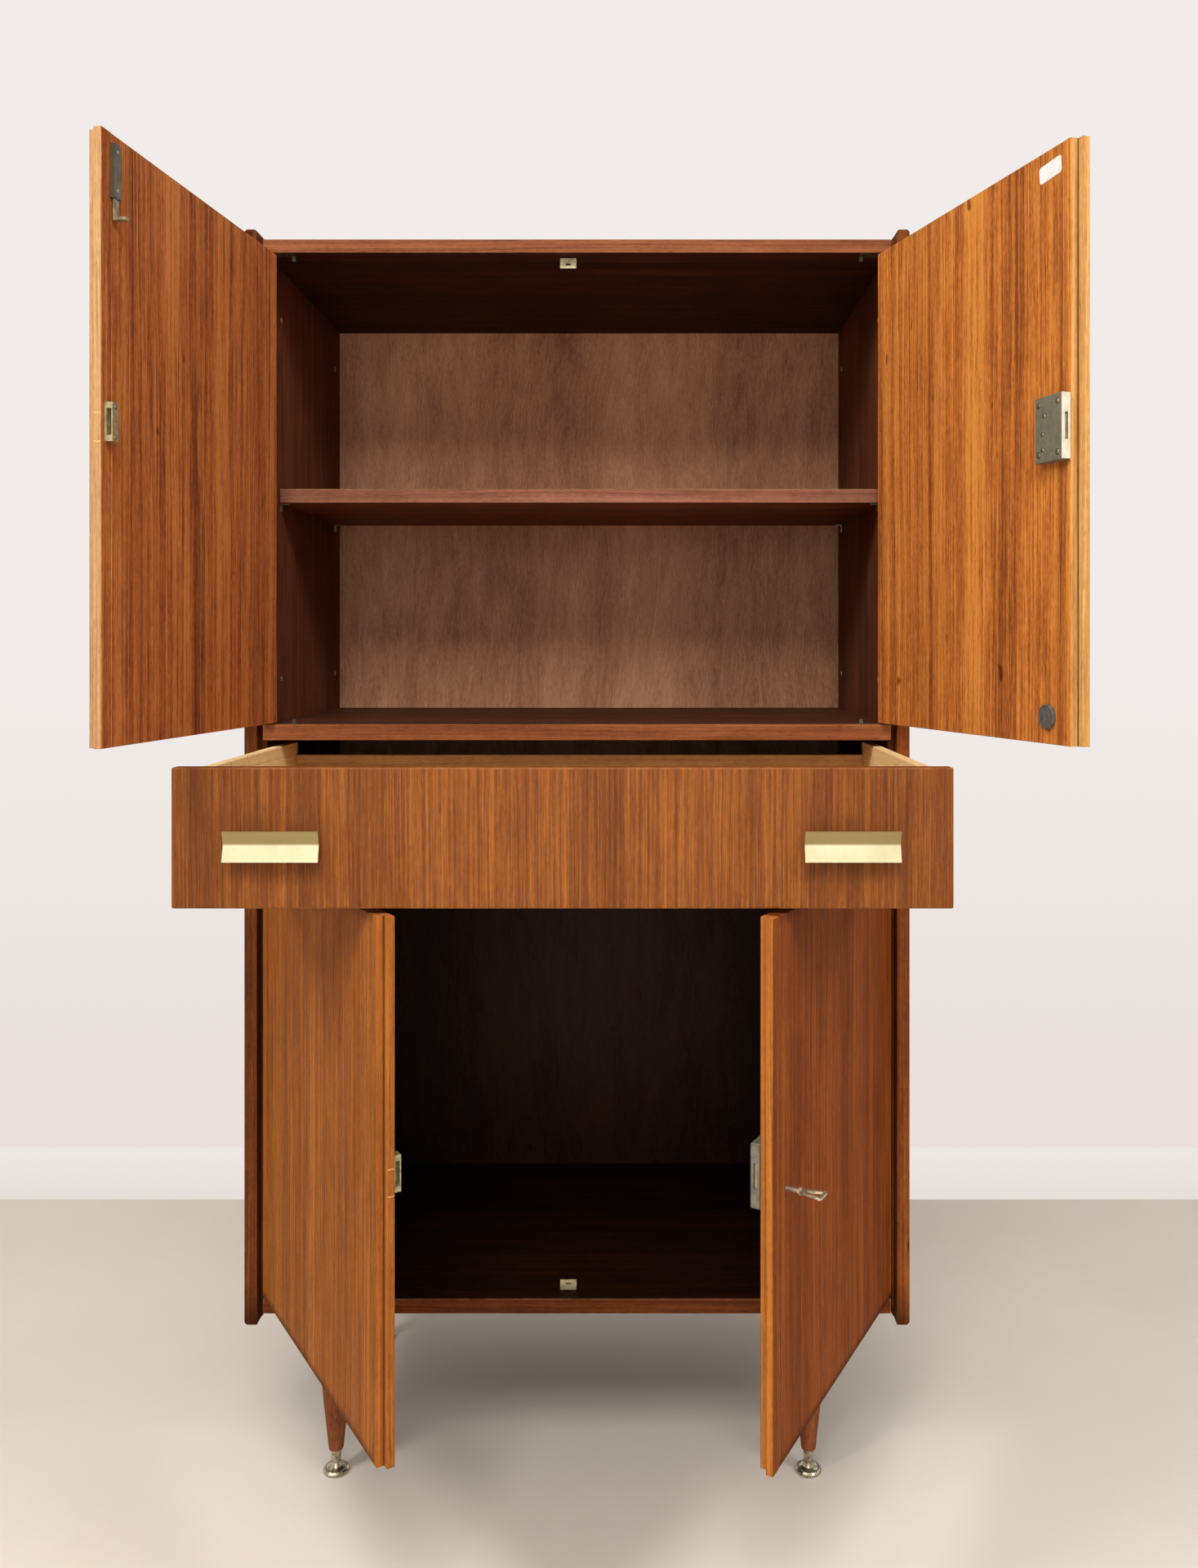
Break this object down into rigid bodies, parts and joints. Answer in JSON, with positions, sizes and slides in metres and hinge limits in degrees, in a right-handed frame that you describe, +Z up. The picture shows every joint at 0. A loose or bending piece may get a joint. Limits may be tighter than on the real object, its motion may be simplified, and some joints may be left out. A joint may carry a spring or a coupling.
{
  "type": "tall cabinet",
  "caption": "Tall veneered cabinet on turned legs with levelling feet: paired doors above and below a full-width drawer, a lift-out shelf, locks, slide bolts and a turning key.",
  "frame": {"origin": "on the floor under the middle of the box of the cabinet as pictured, with its doors and drawer open", "axes": "+Z up; -Y towards the front, the way the drawer pulls out; +X to the right seen from the front"},
  "size_m": [1.0312, 0.8736, 1.715],
  "materials": {
    "dark_wood": "satin, dark stained vertical grain",
    "board_wood": "satin, reddish brown horizontal grain",
    "front_wood": "satin, straight vertical grain",
    "door_veneer": "satin, ribbon striped vertical grain",
    "lipping_wood": "satin, pale straight grain",
    "drawer_wood": "bare, fine grain",
    "back_plywood": "dull, mottled rotary cut grain",
    "pull_brass": "satin lacquered",
    "aged_nickel": "aged nickel plate",
    "pad": "matt"
  },
  "bodies": {
    "carcass": {"side_panel_left": "dark_wood", "side_panel_right": "dark_wood", "top_board": "board_wood", "divider_board": "board_wood", "bottom_board": "board_wood", "dust_board": "board_wood", "back_panel": "back_plywood", "drawer_runner_left": "drawer_wood", "drawer_runner_right": "drawer_wood", "top_keeper": "pull_brass", "bottom_keeper": "pull_brass", "leg_front_left": "dark_wood", "leg_front_right": "dark_wood", "leg_rear_left": "dark_wood", "leg_rear_right": "dark_wood", "shelf_support_front_left": "aged_nickel", "shelf_support_front_right": "aged_nickel", "shelf_support_rear_left": "aged_nickel", "shelf_support_rear_right": "aged_nickel", "pivot_upper_low_left": "aged_nickel", "pivot_upper_low_right": "aged_nickel", "pivot_upper_high_left": "aged_nickel", "pivot_upper_high_right": "aged_nickel", "pivot_lower_low_left": "aged_nickel", "pivot_lower_low_right": "aged_nickel", "pivot_lower_high_left": "aged_nickel", "pivot_lower_high_right": "aged_nickel"},
    "drawer": {"drawer_front": "front_wood", "drawer_side_left": "drawer_wood", "drawer_side_right": "drawer_wood", "drawer_back": "drawer_wood", "drawer_bottom": "drawer_wood", "drawer_pull_left": "pull_brass", "drawer_pull_right": "pull_brass"},
    "shelf": {"shelf": "board_wood"},
    "upper_left_door": {"door_upper_left": "door_veneer", "lipping_upper_left": "lipping_wood", "upper_strike": "aged_nickel", "upper_slide_housing": "aged_nickel"},
    "upper_right_door": {"door_upper_right": "door_veneer", "lipping_upper_right": "lipping_wood", "upper_lock_case": "aged_nickel", "door_pad": "pad"},
    "lower_left_door": {"door_lower_left": "door_veneer", "lipping_lower_left": "lipping_wood", "lower_strike": "aged_nickel", "lower_slide_housing": "aged_nickel"},
    "lower_right_door": {"door_lower_right": "door_veneer", "lipping_lower_right": "lipping_wood", "lower_lock_case": "aged_nickel"},
    "upper_bolt_rod": {"upper_slide_rod": "aged_nickel"},
    "lower_bolt_rod": {"lower_slide_rod": "aged_nickel"},
    "upper_lock_tongue": {"upper_lock_bolt": "aged_nickel"},
    "lower_lock_tongue": {"lower_lock_bolt": "aged_nickel"},
    "door_key": {"key": "aged_nickel"},
    "foot_front_left_glide": {"foot_front_left": "aged_nickel"},
    "foot_front_right_glide": {"foot_front_right": "aged_nickel"},
    "foot_rear_left_glide": {"foot_rear_left": "aged_nickel"},
    "foot_rear_right_glide": {"foot_rear_right": "aged_nickel"}
  },
  "joints": [
    {"name": "upper_left_door_swing", "type": "hinge", "parent": "carcass", "child": "upper_left_door", "pos_m": [-0.45601, -0.00967, 1.0475], "axis": [0, 0, -1], "range_deg": [-97.6, 12.4]},
    {"name": "upper_right_door_swing", "type": "hinge", "parent": "carcass", "child": "upper_right_door", "pos_m": [0.38699, -0.00967, 1.0475], "axis": [0, 0, 1], "range_deg": [-107.4, 2.6]},
    {"name": "lower_left_door_swing", "type": "hinge", "parent": "carcass", "child": "lower_left_door", "pos_m": [-0.45601, -0.00967, 0.2705], "axis": [0, 0, -1], "range_deg": [-57.6, 52.4]},
    {"name": "lower_right_door_swing", "type": "hinge", "parent": "carcass", "child": "lower_right_door", "pos_m": [0.38699, -0.00967, 0.2705], "axis": [0, 0, 1], "range_deg": [-61.7, 48.3]},
    {"name": "drawer_pull_out", "type": "slide", "parent": "carcass", "child": "drawer", "axis": [0, -1, 0], "range_m": [-0.34, 0.03]},
    {"name": "shelf_lift_out", "type": "slide", "parent": "carcass", "child": "shelf", "axis": [0, 0, 1], "range_m": [0, 0.03]},
    {"name": "upper_rod_shoot", "type": "slide", "parent": "upper_left_door", "child": "upper_bolt_rod", "axis": [0, 0, 1], "range_m": [0, 0.0185]},
    {"name": "lower_rod_shoot", "type": "slide", "parent": "lower_left_door", "child": "lower_bolt_rod", "axis": [0, 0, -1], "range_m": [0, 0.0185]},
    {"name": "upper_lock_throw", "type": "slide", "parent": "upper_right_door", "child": "upper_lock_tongue", "axis": [0.299, -0.9542, 0], "range_m": [0, 0.014]},
    {"name": "key_turn", "type": "hinge", "parent": "lower_right_door", "child": "door_key", "pos_m": [0.20778, -0.34988, 0.564], "axis": [-0.8805, 0.4741, 0], "range_deg": [0, 360]},
    {"name": "lower_lock_throw", "type": "slide", "parent": "lower_right_door", "child": "lower_lock_tongue", "axis": [-0.4741, -0.8805, 0], "range_m": [0, 0.014]},
    {"name": "foot_front_left_level", "type": "slide", "parent": "carcass", "child": "foot_front_left_glide", "axis": [0, 0, -1], "range_m": [0, 0.008]},
    {"name": "foot_front_right_level", "type": "slide", "parent": "carcass", "child": "foot_front_right_glide", "axis": [0, 0, -1], "range_m": [0, 0.008]},
    {"name": "foot_rear_left_level", "type": "slide", "parent": "carcass", "child": "foot_rear_left_glide", "axis": [0, 0, -1], "range_m": [0, 0.008]},
    {"name": "foot_rear_right_level", "type": "slide", "parent": "carcass", "child": "foot_rear_right_glide", "axis": [0, 0, -1], "range_m": [0, 0.008]}
  ],
  "couplings": [
    {"joint": "key_turn", "follows": "lower_lock_throw", "rad_per_m": 448.8}
  ]
}
